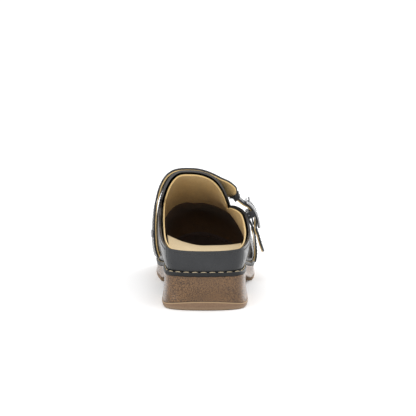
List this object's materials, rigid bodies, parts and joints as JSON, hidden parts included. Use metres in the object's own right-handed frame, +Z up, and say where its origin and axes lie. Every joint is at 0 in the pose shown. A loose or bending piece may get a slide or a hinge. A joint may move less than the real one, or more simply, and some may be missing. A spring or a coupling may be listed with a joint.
{
  "type": "wooden clog",
  "caption": "Right-foot clog with a carved wooden sole, stitched leather upper, low closed heel and a strap that buckles on the outer side of the instep.",
  "frame": {"origin": "on the ground, under the middle of the heel tread", "axes": "+X towards the outer (lateral) side of the right foot, +Y towards the toe, +Z up"},
  "size_m": [0.1033, 0.2565, 0.103],
  "materials": {
    "wood": "brown stain, fine speckled grain, satin",
    "tread_rubber": "matt, moulded",
    "black_leather": "smooth, waxed, soft gloss",
    "lining_leather": "undyed, matt",
    "sock_leather": "smooth, matt",
    "footbed_cover": "dark brown, matt",
    "toe_textile": "dark brown, napped",
    "stiffener_board": "pressed board",
    "steel": "polished",
    "thread": "waxed cream thread"
  },
  "bodies": {
    "shoe": {"wooden_sole": "wood", "heel_outsole": "tread_rubber", "forefoot_outsole": "tread_rubber", "welt": "black_leather", "welt_thread": "thread", "footbed": "footbed_cover", "heel_sock": "sock_leather", "medial_quarter": "black_leather", "lateral_quarter": "black_leather", "heel_counter": "black_leather", "quarter_lining": "lining_leather", "heel_stiffener": "stiffener_board", "vamp": "black_leather", "vamp_lining": "lining_leather", "toe_lining": "toe_textile", "toe_puff": "stiffener_board", "instep_strap": "black_leather", "strap_lining": "lining_leather", "strap_keeper": "black_leather", "medial_rivet": "steel", "medial_burr": "steel", "anchor_strap": "black_leather", "anchor_lining": "lining_leather"},
    "buckle": {"buckle_frame": "steel", "buckle_bar": "steel"},
    "prong": {"buckle_prong": "steel"}
  },
  "joints": [
    {"name": "buckle_rock", "type": "hinge", "parent": "shoe", "child": "buckle", "pos_m": [0.03925, 0.113, 0.0603], "axis": [0, 1, 0], "range_deg": [-1.5, 1.5]},
    {"name": "prong_swing", "type": "hinge", "parent": "buckle", "child": "prong", "pos_m": [0.03925, 0.113, 0.0603], "axis": [0, 1, 0], "range_deg": [0, 45]}
  ]
}
